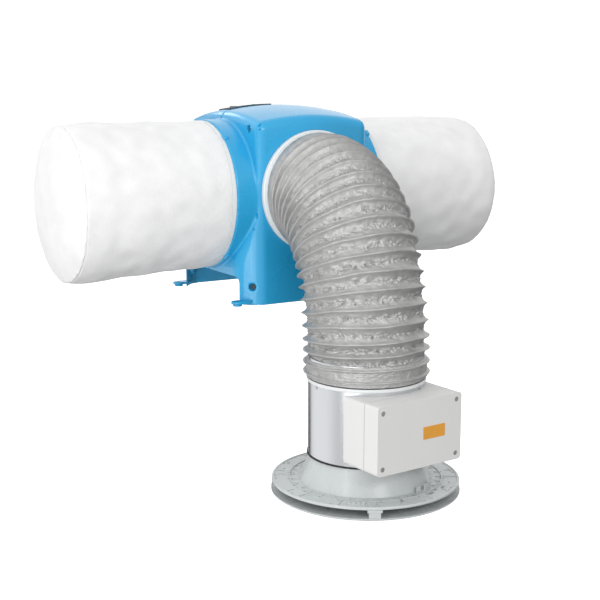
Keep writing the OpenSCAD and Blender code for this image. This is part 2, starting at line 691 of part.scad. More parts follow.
front_shell();
rear_shell();
base_plate();
shell_screws();
control_panel();
indicator_lens();
outlet_spigot();
outlet_plate();
duct();
duct_wire();
scroll_housing();
left_inlet_ring();
right_inlet_ring();
fan_mounts();
motor_stator();
motor_bearings();
motor_bracket();
bracket_bushes();
control_board();
mains_terminal_block();
housing_gland();
impeller();
motor_rotor();
motor_shaft();
left_filter_ring();
left_filter_bag();
left_filter_cage();
right_filter_ring();
right_filter_bag();
right_filter_cage();
heater_tube();
lower_duct_clamp();
tube_screws();
heater_element();
element_bracket();
thermostat();
heater_box();
lid_gasket();
heater_box_lid();
lid_screws();
box_label();
box_gland();
box_terminal_block();
neck_seal();
diffuser_flange();
diffuser_disc();
disc_clips();
speed_button();
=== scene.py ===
"""Loft ventilation supply unit: housing with two bag filters, duct, heater tube and ceiling diffuser."""
import json
import math

import bpy
import numpy as np
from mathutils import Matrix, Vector


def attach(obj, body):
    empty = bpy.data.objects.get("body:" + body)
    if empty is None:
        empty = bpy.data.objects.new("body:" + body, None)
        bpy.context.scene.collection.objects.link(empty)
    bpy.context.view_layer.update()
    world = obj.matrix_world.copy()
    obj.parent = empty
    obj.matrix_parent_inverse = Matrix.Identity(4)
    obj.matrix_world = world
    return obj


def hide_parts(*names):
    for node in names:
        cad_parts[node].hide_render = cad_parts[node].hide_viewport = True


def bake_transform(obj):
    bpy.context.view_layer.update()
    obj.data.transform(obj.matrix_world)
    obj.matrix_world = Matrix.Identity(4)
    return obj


MM = 0.001
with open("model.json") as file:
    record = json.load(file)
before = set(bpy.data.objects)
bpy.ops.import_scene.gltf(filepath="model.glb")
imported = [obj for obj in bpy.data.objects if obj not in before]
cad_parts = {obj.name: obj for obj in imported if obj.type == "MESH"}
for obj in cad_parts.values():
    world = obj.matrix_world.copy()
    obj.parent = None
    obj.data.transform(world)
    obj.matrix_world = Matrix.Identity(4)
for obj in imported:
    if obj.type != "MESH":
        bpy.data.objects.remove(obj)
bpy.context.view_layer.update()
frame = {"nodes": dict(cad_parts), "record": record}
nodes = frame["nodes"]
slot_of = {s["node"]: s["material_slot"] for s in frame["record"]["subparts"]}

# sizes of the CAD part, in millimetres
AXIS_Z, COLLAR_R, RIM_X, BORE = 187.0, 133.3, 150.0, 129.8      # the collars round the filters' axis
FACE_Y, FACE_W, BASE_W, TOP_W = 138.0, 111.0, 140.0, 112.5      # half widths of the body
FLARE = (57.0, 185.0)                                           # heights between which the sides draw in
DOME_TOP, DOME_R = 345.0, 530.0
ARCH_HALF, ARCH_Z = 108.0, 49.0                                 # the opening between the feet
FOOT_X, FOOT_Y = 146.5, 121.5
SPIGOT_Z, DROP_X, DROP_Y = 196.5, -6.0, 318.0                   # the duct's start, and the tube's axis
DUCT_END, TUBE_R = -97.0, 98.5
LIP_END, SEAM_X, BAG_END, BAG_R = 158.2, 419.0, 443.0, 131.6    # a filter bag from its ring to its end
PANEL_X, PANEL_Y, PANEL_HALF_W, PANEL_HALF_D = -49.0, 27.0, 43.0, 22.0
BUTTON_X, LENS_X, CONTROL_Y = -69.0, -27.0, 35.0
FLANGE_Z = -276.0
FLOOR_Z = -412.0        # clear of the baffle disc with the duct and the disc pulled right down


# ---------------------------------------------------------------- materials
def srgb(r, g, b):
    """Linear colour from display values of 0 to 255."""
    return [((c / 255 + 0.055) / 1.055) ** 2.4 if c > 10 else c / 255 / 12.92 for c in (r, g, b)]


def material(name, rgb, rough=0.5, metal=0.0, spread=0.05, scale=30.0, bump=0.1, bump_scale=400.0,
             spec=0.5, coat=0.0, stretch=(1, 1, 1), rough_spread=0.06, sheen=0.0, see_through=0.0):
    """A finish with soft colour mottling, roughness variation and a fine surface grain."""
    m = bpy.data.materials.new(name)
    m.use_nodes = True
    nt = m.node_tree
    b = nt.nodes["Principled BSDF"]
    co = nt.nodes.new("ShaderNodeTexCoord")
    mp = nt.nodes.new("ShaderNodeMapping")
    mp.inputs["Scale"].default_value = stretch
    nt.links.new(co.outputs["Object"], mp.inputs["Vector"])

    def noise(s, detail):
        n = nt.nodes.new("ShaderNodeTexNoise")
        n.inputs["Scale"].default_value = s
        n.inputs["Detail"].default_value = detail
        nt.links.new(mp.outputs["Vector"], n.inputs["Vector"])
        return n

    tone = noise(scale, 5)
    mix = nt.nodes.new("ShaderNodeMix")
    mix.data_type = "RGBA"
    mix.inputs["A"].default_value = [c * (1 - spread) for c in rgb] + [1]
    mix.inputs["B"].default_value = [min(1, c * (1 + spread)) for c in rgb] + [1]
    ramp = nt.nodes.new("ShaderNodeMapRange")
    ramp.inputs["From Min"].default_value = 0.32
    ramp.inputs["From Max"].default_value = 0.68
    nt.links.new(tone.outputs["Fac"], ramp.inputs["Value"])
    nt.links.new(ramp.outputs["Result"], mix.inputs["Factor"])
    nt.links.new(mix.outputs["Result"], b.inputs["Base Color"])
    rr = nt.nodes.new("ShaderNodeMapRange")
    rr.inputs["To Min"].default_value = max(0.02, rough - rough_spread)
    rr.inputs["To Max"].default_value = min(1.0, rough + rough_spread)
    nt.links.new(noise(scale * 2.3, 3).outputs["Fac"], rr.inputs["Value"])
    nt.links.new(rr.outputs["Result"], b.inputs["Roughness"])
    if bump:
        bm = nt.nodes.new("ShaderNodeBump")
        bm.inputs["Strength"].default_value = bump
        bm.inputs["Distance"].default_value = 0.0006
        nt.links.new(noise(bump_scale, 4).outputs["Fac"], bm.inputs["Height"])
        nt.links.new(bm.outputs["Normal"], b.inputs["Normal"])
    b.inputs["Metallic"].default_value = metal
    b.inputs["Specular IOR Level"].default_value = spec
    b.inputs["Coat Weight"].default_value = coat
    b.inputs["Coat Roughness"].default_value = 0.15
    b.inputs["Sheen Weight"].default_value = sheen
    b.inputs["Transmission Weight"].default_value = see_through
    return m


def finish(name, rgb, rough=0.5, **more):
    return material(name, srgb(*rgb), rough, **more)


FINISHES = dict(
    blue_plastic=dict(rgb=(38, 164, 216), rough=0.28, spread=0.03, scale=6, bump=0.04, bump_scale=900,
                      spec=0.42, coat=0.45),
    white_plastic=dict(rgb=(226, 229, 229), rough=0.42, spread=0.02, scale=12, bump=0.06),
    diffuser_plastic=dict(rgb=(193, 198, 198), rough=0.27, spread=0.02, scale=12, bump=0.05),
    box_plastic=dict(rgb=(222, 222, 221), rough=0.48, spread=0.015, scale=10, bump=0.12, bump_scale=1400),
    filter_cloth=dict(rgb=(238, 238, 238), rough=0.95, spread=0.036, scale=26, bump=0.8, bump_scale=420,
                      spec=0.1, sheen=0.15),
    duct_cloth=dict(rgb=(181, 181, 180), rough=0.41, metal=0.42, spread=0.07, scale=60, bump=0.5,
                    bump_scale=260),
    galvanised=dict(rgb=(214, 216, 219), rough=0.25, metal=0.9, spread=0.02, scale=12, bump=0.0,
                    rough_spread=0.03, stretch=(1, 1, 0.35)),
    wire_steel=dict(rgb=(176, 178, 182), rough=0.35, metal=1.0, scale=80),
    screw_steel=dict(rgb=(205, 205, 207), rough=0.32, metal=0.9, scale=90),
    black_rubber=dict(rgb=(34, 34, 35), rough=0.8, scale=60, bump=0.3),
    black_plastic=dict(rgb=(50, 54, 60), scale=40, bump=0.2),
    grey_plastic=dict(rgb=(140, 141, 142), scale=60),
    lens_green=dict(rgb=(90, 200, 120), rough=0.15, scale=40, bump=0.0, see_through=0.3),
    board=dict(rgb=(30, 110, 64), rough=0.4, scale=90),
    amber_label=dict(rgb=(226, 160, 62), spread=0.03, scale=50, bump=0.02),
)
M = {name: finish(name, **look) for name, look in FINISHES.items()}
floor_white = material("floor_white", (0.9, 0.9, 0.9), 0.9, spread=0.004, scale=2, bump=0.0,
                       spec=0.0)
fb = floor_white.node_tree.nodes["Principled BSDF"]
fb.inputs["Emission Color"].default_value = (1, 1, 1, 1)
fb.inputs["Emission Strength"].default_value = 0.62


def shade(o, smooth=True):
    o.data.polygons.foreach_set("use_smooth", [smooth] * len(o.data.polygons))


def add_mesh(name, verts, faces, slot, body=None, smooth=True):
    me = bpy.data.meshes.new(name)
    me.from_pydata(np.asarray(verts).tolist(), [], [list(map(int, f)) for f in faces])
    me.update()
    o = bpy.data.objects.new(name, me)
    bpy.context.scene.collection.objects.link(o)
    me.materials.append(M[slot])
    shade(o, smooth)
    if body:
        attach(o, body)
    return o


def bevel(o, width, segments=3, angle=35):
    b = o.modifiers.new("bevel", "BEVEL")
    b.width = width * MM
    b.segments = segments
    b.limit_method = "ANGLE"
    b.angle_limit = math.radians(angle)
    b.harden_normals = False
    return b


for n, o in nodes.items():
    o.data.materials.clear()
    o.data.materials.append(M[slot_of[n]])


# ---------------------------------------------------------------- housing shells
def rmax(a, b, r):
    """The greater of two distances, with the corner where they meet rounded to r."""
    return np.minimum(np.maximum(a, b), -r) + np.hypot(np.maximum(a + r, 0), np.maximum(b + r, 0))


def rmin(a, b, r):
    """The lesser of two distances, with the corner where they meet filled to r."""
    return -rmax(-a, -b, r)


def ease(t):
    """0 to 1, slow at both ends."""
    return (1 - np.cos(np.pi * np.clip(t, 0, 1))) / 2


def dome_field(x, y, z):
    return np.sqrt(x * x + y * y + (z - DOME_TOP + DOME_R) ** 2) - DOME_R


def body_field(x, y, z):
    """Distance outside the body without its collars: flared sides, cut corners and a domed top."""
    ax, ay = np.abs(x), np.abs(y)
    side = ax - (BASE_W - (BASE_W - TOP_W) * ease((z - FLARE[0]) / (FLARE[1] - FLARE[0])))
    corner = (ax - FACE_W) * 0.719 + (ay - FACE_Y) * 0.695
    walls = rmax(rmax(side, corner, 9), ay - FACE_Y, 11)
    return rmax(walls, dome_field(x, y, z), 13)


def rod(px, py, pz, p, d, r, h0, h1):
    """Cylinder of radius r about the line p + t d, t from h0 to h1."""
    t = (px - p[0]) * d[0] + (py - p[1]) * d[1] + (pz - p[2]) * d[2]
    q = np.sqrt(np.maximum((px - p[0]) ** 2 + (py - p[1]) ** 2 + (pz - p[2]) ** 2 - t * t, 0))
    return np.maximum(q - r, np.maximum(h0 - t, t - h1))


def block(px, py, pz, c, h, r=0.0):
    """Box about c with half sizes h and edges rounded to r."""
    q = [np.abs(a - m) - s + r for a, m, s in zip((px, py, pz), c, h)]
    out = np.sqrt(sum(np.maximum(k, 0) ** 2 for k in q))
    return out + np.minimum(np.maximum(np.maximum(q[0], q[1]), q[2]), 0) - r


WALL = 4.6
POCKET_R, POCKET_HOLE_R, SCREW_R = 11.5, 6.5, 2.2       # a boss, the pocket in it, and its screw's hole
POCKETS = [p for s in (-1, 1) for p in (
    ((s * TOP_W, -104.0, 306.0), (s, 0.0, 0.0)),                       # on the side, near the top
    ((s * 120.5, -128.0, 32.0), (s * 0.7193, -0.6947, 0.0)))]          # on the cut corner, low down
CATCHES = (51, -52)                                                    # degrees round each collar


def shell_field(x, y, z, front):
    """Distance outside one moulded half. Both are worked out as the front one, at -y."""
    y = y if front else -y
    b = body_field(x, y, z)
    ring = np.hypot(y, z - AXIS_Z)
    c = rmax(ring - COLLAR_R, np.abs(x) - RIM_X, 1.4)
    outer = rmin(b, c, 3.0)
    f = np.maximum(outer, -(outer + WALL))
    for p, d in POCKETS:
        f = np.minimum(f, np.maximum(b, rod(x, y, z, p, d, POCKET_R, -12, 8)))
    for side in (-1, 1):
        for t in np.radians(CATCHES):
            across = y * math.cos(t) + (z - AXIS_Z) * math.sin(t)
            along = -y * math.sin(t) + (z - AXIS_Z) * math.cos(t)
            middle = (side * (RIM_X - 2.5), -COLLAR_R - 0.5, 0.0)
            f = np.minimum(f, block(x, across, along, middle, (4.5, 3.2, 6), 1.2))
    f = np.maximum(f, -(ring - BORE))
    if front:                       # the hole for the outlet spigot
        f = np.maximum(f, -np.maximum(np.hypot(x, z - SPIGOT_Z) - 100.5, y + 100))
    for p, d in POCKETS:
        f = np.maximum(f, -rod(x, y, z, p, d, POCKET_HOLE_R, -8, 30))
        f = np.maximum(f, -rod(x, y, z, p, d, SCREW_R, -14, -2))
    f = np.maximum(f, -rmax(np.abs(y) - ARCH_HALF, z - ARCH_Z, 12))
    if not front:                   # the control panel's tray, on the crest of the dome
        ball = dome_field(x, y, z)
        px, py = np.abs(x - PANEL_X) - PANEL_HALF_W, np.abs(y + PANEL_Y) - PANEL_HALF_D
        f = np.minimum(f, np.maximum(np.maximum(px - 2, py - 2), np.maximum(b, -8 - ball)))
        f = np.maximum(f, -np.maximum(np.maximum(px - 0.2, py - 0.2), -4.2 - ball))
        for hx, hr in ((BUTTON_X, 7.5), (LENS_X, 3.1)):
            f = np.maximum(f, -np.maximum(np.hypot(x - hx, y + CONTROL_Y) - hr, 300 - z))
        f = np.maximum(f, -rod(x, y, z, (70, -FACE_Y, 80), (0, -1, 0), 8.4, -20, 10))    # gland
    f = np.maximum(f, -z)
    return np.maximum(f, y + 0.12)


def surface(field, lo, hi, h):
    """Quads of field = 0: one point in each mixed cell, then pulled onto the surface."""
    n = [int(math.ceil((b - a) / h)) + 1 for a, b in zip(lo, hi)]
    ax = [lo[i] + h * np.arange(n[i]) for i in range(3)]
    f = field(ax[0][:, None, None], ax[1][None, :, None], ax[2][None, None, :]).astype(np.float32)
    cells = [k - 1 for k in n]
    total = np.zeros(cells + [3], np.float32)
    count = np.zeros(cells, np.float32)
    crossings = []
    for a in range(3):
        s0 = [slice(None)] * 3
        s1 = [slice(None)] * 3
        s0[a], s1[a] = slice(0, -1), slice(1, None)
        f0, f1 = f[tuple(s0)], f[tuple(s1)]
        idx = np.argwhere((f0 < 0) != (f1 < 0))
        v0, v1 = f0[tuple(idx.T)], f1[tuple(idx.T)]
        p = idx.astype(np.float32)
        p[:, a] += v0 / (v0 - v1)
        crossings.append((a, idx, v0 < 0))
        b, c = (a + 1) % 3, (a + 2) % 3
        for db in (0, -1):
            for dc in (0, -1):
                q = idx.copy()
                q[:, b] += db
                q[:, c] += dc
                ok = np.all((q >= 0) & (q < np.array(cells)), 1)
                np.add.at(total, tuple(q[ok].T), p[ok])
                np.add.at(count, tuple(q[ok].T), 1)
    used = count > 0
    ids = np.full(cells, -1, np.int64)
    ids[used] = np.arange(used.sum())
    v = total[used] / count[used][:, None] * h + np.array(lo, np.float32)
    quads = []
    for a, idx, flip in crossings:
        b, c = (a + 1) % 3, (a + 2) % 3
        ring = []
        ok = np.ones(len(idx), bool)
        for db, dc in ((0, 0), (-1, 0), (-1, -1), (0, -1)):
            q = idx.copy()
            q[:, b] += db
            q[:, c] += dc
            inside = np.all((q >= 0) & (q < np.array(cells)), 1)
            ok &= inside
            q[~inside] = 0
            ring.append(ids[tuple(q.T)])
        r = np.stack(ring, 1)
        r[~flip] = r[~flip][:, ::-1]
        quads.append(r[ok & np.all(r >= 0, 1)])
    v = v.astype(np.float64)
    start = v.copy()
    e = 0.25
    for _ in range(4):
        d = field(*v.T)
        g = np.stack([(field(*(v + e * k).T) - field(*(v - e * k).T)) / (2 * e) for k in np.eye(3)], 1)
        step = np.clip(d / np.maximum((g * g).sum(1), 0.2), -h, h)
        v -= 0.9 * step[:, None] * g
    far = np.linalg.norm(v - start, axis=1) > 1.2 * h
    v[far] = start[far]
    return v, np.concatenate(quads)


HOLE_R, PLATE_R, PAD_R = 2.75, 11.0, 8.0
PLATE_Z, PLATE_TOP = 4.0, 8.5


def foot(cx, cy, inward):
    """A foot's plate with its screw hole, and the pad under it."""
    n = 48
    a = np.arange(n) * 2 * np.pi / n
    c, s = np.cos(a), np.sin(a)
    reach = 24.0                    # how far the plate runs under the body
    plate = np.full(n, PLATE_R)
    toward = c * inward > 1e-6
    plate[toward] = np.minimum(reach / np.abs(c[toward]), PLATE_R / np.maximum(np.abs(s[toward]), 1e-6))
    r_in = np.full(n, HOLE_R)
    e = 0.6                         # the edges' chamfer
    v, f = [], []
    for r_out, z0, z1 in ((plate, PLATE_Z, PLATE_TOP), (np.full(n, PAD_R), 0.0, PLATE_Z)):
        base = len(v)
        prof = [(r_in, z0), (r_in, z1), (r_out - e, z1), (r_out, z1 - e), (r_out, z0 + e),
                (r_out - e, z0)]
        for r, z in prof:
            v += [(cx + r[i] * c[i], cy + r[i] * s[i], z) for i in range(n)]
        m = len(prof)
        for q in range(m):
            for i in range(n):
                j, w = (i + 1) % n, (q + 1) % m
                f.append([base + w * n + i, base + w * n + j, base + q * n + j, base + q * n + i])
    return v, f


STEP = 2.5              # the shells' grid
for name, front in (("front_shell", True), ("rear_shell", False)):
    lo, hi = (-162.3, -147.2, -3.1), (162.3, 2.4, 349.0)
    if not front:
        lo, hi = (lo[0], -hi[1], lo[2]), (hi[0], -lo[1], hi[2])
    v, q = surface(lambda x, y, z, fr=front: shell_field(x, y, z, fr), lo, hi, STEP)
    v, q = v.tolist(), q.tolist()
    for sx in (-1, 1):
        fv, ff = foot(sx * FOOT_X, -FOOT_Y if front else FOOT_Y, -sx)
        q += [[i + len(v) for i in face] for face in ff]
        v += fv
    o = add_mesh(name + "_moulding", np.array(v) * MM, q, "blue_plastic", "housing")
    o.data.set_sharp_from_angle(angle=math.radians(50))
    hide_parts(name)


# ---------------------------------------------------------------- noise on a wrapped sheet
def cloth_noise(rows, cols, row_len, col_len, wave_lo, wave_hi, along=1.0, seed=0):
    """Random relief of unit spread with wavelengths in a band, periodic along the columns."""
    r = np.random.default_rng(seed)
    w = np.fft.rfft2(r.standard_normal((rows, cols)))
    fr = np.fft.fftfreq(rows, row_len / rows)[:, None] * along
    fc = np.fft.rfftfreq(cols, col_len / cols)[None, :]
    k = np.hypot(fr, fc) + 1e-9
    spread = 0.5 * math.log(wave_hi / wave_lo)
    band = np.exp(-(np.log(k * math.sqrt(wave_lo * wave_hi)) / spread) ** 2)
    out = np.fft.irfft2(w * band, (rows, cols))
    return out / out.std()


def grid_faces(rows, cols):
    """Quads of a tube of rows, each a closed ring of cols points."""
    i, j = np.meshgrid(np.arange(rows - 1), np.arange(cols), indexing="ij")
    k = (j + 1) % cols
    quads = [i * cols + j, i * cols + k, (i + 1) * cols + k, (i + 1) * cols + j]
    return np.stack(quads, -1).reshape(-1, 4)


# ---------------------------------------------------------------- filter bags
def waves(p, lo, hi, count, seed):
    """Smooth relief of unit spread through space, with wavelengths from lo to hi."""
    r = np.random.default_rng(seed)
    out = np.zeros(p.shape[:-1])
    for _ in range(count):
        k = r.standard_normal(3)
        k *= 2 * np.pi / (np.linalg.norm(k) * math.exp(r.uniform(math.log(lo), math.log(hi))))
        out += np.cos(p @ k + r.uniform(0, 2 * np.pi))
    return out / math.sqrt(count / 2)


def bag_outline():
    """Rows of a bag from its ring to its end: place along the axis, radius, and share of the cap."""
    rows = []
    tuck = 5.5                      # how far the felt draws in towards its seam
    for x in np.linspace(LIP_END, SEAM_X - 1.5, 84):
        u = (x - LIP_END) / (SEAM_X - LIP_END)
        r = BAG_R - tuck * max(0, (u - 0.80) / 0.20) ** 2.4 - 1.0 * math.exp(-(x - LIP_END) / 5)
        rows.append((x, r, 0.0))
    for d, dr in ((0.4, -0.2), (0.8, 0.1), (1.3, 0.5), (2.0, 0.5), (2.7, 0.1)):     # the seam's bead
        rows.append((SEAM_X - 1.5 + d, BAG_R - tuck + dr - 0.6, 0.0))
    edge = rows[-1][1]
    for t in np.linspace(0.02, 1, 46):
        r = edge * (1 - t)
        x = SEAM_X + 1.5 + (BAG_END - SEAM_X - 1.5) * (1 - (r / edge) ** 2.6)
        rows.append((x, max(r, 0.4), t))
    return np.array(rows).T


def make_bag(side, seed, bigger, droop, bulge):
    """A felt bag: its growth over the plain outline, how far its end hangs, and how far that swells."""
    cols = 240
    xs, rs, cap = bag_outline()
    rows = len(xs)
    a = np.arange(cols) * 2 * np.pi / cols
    place = np.stack([xs[:, None] + 0 * a, rs[:, None] * np.cos(a), rs[:, None] * np.sin(a)], -1)
    big = waves(place, 110, 260, 14, seed)
    mid = waves(place, 30, 75, 40, seed + 1)
    gather = cloth_noise(rows, cols, 420, 830, 12, 26, 0.25, seed + 2)
    u = (xs - LIP_END) / (SEAM_X - LIP_END)
    hold = np.clip(u * 6, 0, 1)
    near_seam = np.exp(-((xs - SEAM_X) / 9) ** 2)
    relief = (hold * (1 - 0.5 * near_seam))[:, None] * (1.4 * big + 0.6 * mid)
    relief += ((0.30 * np.exp(-(u * 9)) + 0.28 * near_seam) * (cap < 0.25))[:, None] * gather
    top = np.clip(np.sin(a), 0, 1)[None, :] ** 2
    sag = -2.2 * np.sin(np.pi * np.clip(u, 0, 1))[:, None] * top + bigger * np.clip(u * 4, 0, 1)[:, None]
    flat = np.clip(cap, 0, 1)[:, None]
    centre_fade = np.clip(rs / 60, 0, 1)[:, None]
    rr = np.maximum(rs[:, None] + (relief + sag) * (1 - flat) * centre_fade, 0.3)
    xx = xs[:, None] + relief * flat * 0.9 + (bulge * np.clip(cap, 0, 1) ** 0.8)[:, None]
    hang = 0.62                     # share of the droop at the bag's middle: less on top, more below
    down = droop * np.clip(u, 0, 1)[:, None] ** 1.5 * (hang - (1 - hang) * np.sin(a))[None, :]
    s = -1 if side == "left" else 1
    v = np.stack([s * xx, rr * np.cos(a)[None, :], AXIS_Z - down + rr * np.sin(a)[None, :]], -1)
    end = [s * (BAG_END + bulge + relief[-1].mean() * 0.9), 0, AXIS_Z - hang * droop]
    v = np.vstack([v.reshape(-1, 3), [end]])
    centre, last = len(v) - 1, (rows - 1) * cols
    faces = grid_faces(rows, cols).tolist()
    faces += [[last + j, last + (j + 1) % cols, centre] for j in range(cols)]
    if s > 0:
        faces = [x[::-1] for x in faces]
    o = add_mesh(side + "_bag_felt", v * MM, faces, "filter_cloth", side + "_filter")
    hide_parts(side + "_filter_bag")
    return o


make_bag("left", 21, bigger=3.0, droop=10.0, bulge=6.0)
make_bag("right", 57, bigger=1.5, droop=6.0, bulge=3.0)


# ---------------------------------------------------------------- duct
DUCT_POINTS = np.array([[0, -148, SPIGOT_Z], [0, -228, SPIGOT_Z], [DROP_X, -DROP_Y, 135.0],
                        [DROP_X, -DROP_Y, DUCT_END]])
# from one wire turn to the next along the duct, counted up from the tube
RIDGE_GAPS = [7.6, 17.4, 20, 19, 24, 24, 24, 23.5, 23, 22, 21, 20, 18, 17, 16, 15, 15, 14.5, 14]
FREE_GAP = 21.5         # such a gap where the cloth is neither stretched nor bunched
DUCT_GIRTH = 650
START_R, END_R = 101.4, 99.9


def duct_line(t):
    """Places and directions along the duct's middle, a cubic curve."""
    u = 1 - t
    p = DUCT_POINTS
    c = sum(np.outer(w, q) for w, q in zip((u ** 3, 3 * u * u * t, 3 * u * t * t, t ** 3), p))
    d = sum(np.outer(w, q) for w, q in zip((u * u, 2 * u * t, t * t), np.diff(p, axis=0)))
    return c, d / np.linalg.norm(d, axis=1)[:, None]


def make_duct():
    t = np.linspace(0, 1, 2000)
    c, _ = duct_line(t)
    run = np.concatenate([[0], np.cumsum(np.linalg.norm(np.diff(c, axis=0), axis=1))])
    length = run[-1]
    ridges = (length - np.cumsum(RIDGE_GAPS))[::-1]
    s = [np.linspace(0, ridges[0], 16, endpoint=False)]
    for a, b in zip(ridges[:-1], ridges[1:]):
        s.append(np.linspace(a, b, 18, endpoint=False))
    s.append(np.linspace(ridges[-1], length, 12))
    s = np.concatenate(s)
    rows, cols = len(s), 336
    c, d = duct_line(np.interp(s, run, t))
    side = np.array([1.0, 0, 0]) - d * d[:, :1]
    side /= np.linalg.norm(side, axis=1)[:, None]
    up = np.cross(d, side)
    ang = np.arange(cols) * 2 * np.pi / cols
    ring = (side[:, None, :] * np.cos(ang)[None, :, None]
            + up[:, None, :] * np.sin(ang)[None, :, None])
    # the ridges before and after each row; past the last one the cloth runs on as if to one more
    k = np.clip(np.searchsorted(ridges, s, side="right") - 1, -1, len(ridges) - 1)
    first, last = k < 0, k == len(ridges) - 1
    a0 = np.where(first, 0, ridges[np.clip(k, 0, None)])
    after = ridges[np.clip(k + 1, 0, len(ridges) - 1)]
    a1 = np.where(first, ridges[0], np.where(last, length + 4, after))
    gap = (a1 - a0)[:, None]
    p = ((s - a0) / (a1 - a0))[:, None]

    def noise(lo, hi, along, seed):
        return cloth_noise(rows, cols, length, DUCT_GIRTH, lo, hi, along, seed)

    # the cloth is tighter, and its valleys shallower, on the outside of the bend
    edge = c[:, None, :] + 101 * ring
    stretch = np.linalg.norm(np.gradient(edge, s, axis=0), axis=2)
    tight = np.clip(gap / FREE_GAP, 0.6, 1.2) * stretch
    depth = np.clip(11.8 - 4.4 * (tight - 0.55), 6.8, 11.8)
    # a wire in each ridge, with the cloth falling away to a rounded valley between them
    valley = np.abs(np.sin(np.pi * p)) ** 0.75
    middle = np.exp(-((p - 0.52 - 0.07 * noise(30, 110, 0.6, 5)) / 0.15) ** 2)
    bead = np.exp(-(np.minimum(p, 1 - p) * gap / 1.5) ** 2)
    ridge_r = np.interp(s, [0, 20, 60, length - 50, length], [103.2, 103.6, 103.8, 104.8, 104.8])
    rad = ridge_r[:, None] - depth * valley
    # crumples: most along the bottom of each valley
    fold, fine, slant = noise(6, 14, 0.8, 6), noise(3.6, 8, 0.9, 7), noise(12, 34, 0.45, 8)
    crease = 0.75 - np.abs(fold) * 1.7
    crumple = 1.25 * crease + 0.8 * fine + 0.4 * slant
    rad = rad + middle * crumple * np.clip(depth / 8, 0.6, 1.2) + 1.3 * bead
    rad = rad + valley * (0.26 * fine + 0.22 * slant) * (1 - middle)
    rad = rad + 0.15 * slant
    # the plain cuff on the spigot, and the last turn down onto the tube
    cuff = np.clip((s - 9) / 12, 0, 1)[:, None]
    rad = (START_R + 0.25 * slant) * (1 - cuff) + rad * cuff
    tail = np.clip((s - (length - 7.4)) / 6.6, 0, 1)[:, None]
    rad = rad * (1 - tail) + END_R * tail
    # over the spigot and the tube, never inside them
    ends = ((s > length - 30) | (s < 13))[:, None]
    rad = np.where(ends, np.maximum(rad, TUBE_R + 1 + 0.9 * np.abs(fine) + 0.3 * np.abs(fold)), rad)
    shift = noise(60, 200, 0.7, 9) * 0.55
    shift = shift * (np.clip(s / 40, 0, 1) * np.clip((length - s) / 40, 0, 1))[:, None]
    v = c[:, None, :] + rad[:, :, None] * ring + shift[:, :, None] * d[:, None, :]
    o = add_mesh("duct_sleeve", v.reshape(-1, 3) * MM, grid_faces(rows, cols)[:, ::-1], "duct_cloth")
    so = o.modifiers.new("cloth", "SOLIDIFY")
    so.thickness = 0.5 * MM
    so.offset = -1
    bpy.context.view_layer.objects.active = o
    o.select_set(True)
    bpy.ops.object.modifier_apply(modifier="cloth")
    o.select_set(False)
    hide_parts("duct", "duct_wire")
    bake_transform(o)
    return o


make_duct()


# ---------------------------------------------------------------- rings at the duct's ends
def lathe(name, prof, place, slot, body):
    """A turned ring; place(r, h, c, s) puts the profile's radius and height into the frame."""
    n, m = 128, len(prof)
    a = np.arange(n) * 2 * np.pi / n
    v = [place(r, h, math.cos(t), math.sin(t)) for r, h in prof for t in a]
    f = [[q * n + i, q * n + (i + 1) % n, (q + 1) % m * n + (i + 1) % n, (q + 1) % m * n + i]
         for q in range(m) for i in range(n)]
    o = add_mesh(name, np.array(v) * MM, f, slot, body)
    o.data.set_sharp_from_angle(angle=math.radians(40))
    return o


def round_spigot(r, h, c, s):
    return r * c, h, SPIGOT_Z + r * s


def round_tube(r, h, c, s):
    return DROP_X + r * c, r * s - DROP_Y, h


# radius and place along the axis; the collar is stepped
COLLAR = [(102.3, -138.4), (106.2, -138.4), (106.6, -139.0), (106.6, -145.4), (106.2, -146.0),
          (104.2, -146.6), (104.2, -152.6), (103.8, -153.2), (102.3, -153.2)]
# painted shadow: a thin black ring where the sleeve's bottom lip throws its shade on the tube
LIP = [(98.7, -98.6), (100.3, -98.6), (100.3, -97.2), (98.7, -97.2)]
BAND = [(98.7, -99.0), (100.5, -99.0), (100.7, -99.4), (100.7, -103.6), (100.1, -104.8), (98.7, -104.8)]
lathe("outlet_collar", COLLAR, round_spigot, "white_plastic", "housing")
lathe("duct_lip_shadow", LIP, round_tube, "black_rubber", "heater_and_diffuser")
lathe("tube_band", BAND, round_tube, "white_plastic", "heater_and_diffuser")

# ---------------------------------------------------------------- CAD pieces: softened edges
SOFTENED = dict(heater_box=0.9, heater_box_lid=1.8, outlet_spigot=0.6, left_filter_ring=1.0,
                right_filter_ring=1.0, control_panel=0.6, speed_button=0.8, lid_screws=0.5,
                diffuser_disc=0.8, box_gland=0.8, housing_gland=0.8)
for n, w in SOFTENED.items():
    bevel(nodes[n], w)


CORNERS = [(-1, -1, -1), (1, -1, -1), (1, 1, -1), (-1, 1, -1), (-1, -1, 1), (1, -1, 1), (1, 1, 1),
           (-1, 1, 1)]
SIDES = [(0, 3, 2, 1), (4, 5, 6, 7), (0, 1, 5, 4), (1, 2, 6, 5), (2, 3, 7, 6), (3, 0, 4, 7)]


def boxes(name, items, slot, width):
    """Small blocks on the diffuser, as one piece: (radius, side step, lift, size, degrees) each."""
    v, f = [], []
    for r, step, lift, size, turn in items:
        base = len(v)
        co, si = math.cos(math.radians(turn)), math.sin(math.radians(turn))
        for dx, dy, dz in CORNERS:
            px, py = r + dx * size[0] / 2, step + dy * size[1] / 2
            v.append((DROP_X + px * co - py * si, -DROP_Y + px * si + py * co,
                      FLANGE_Z + lift + dz * size[2] / 2))
        f += [[base + i for i in q] for q in SIDES]
    o = add_mesh(name, np.array(v) * MM, f, slot, "heater_and_diffuser", smooth=False)
    if width:
        bevel(o, width, 2)
    return o


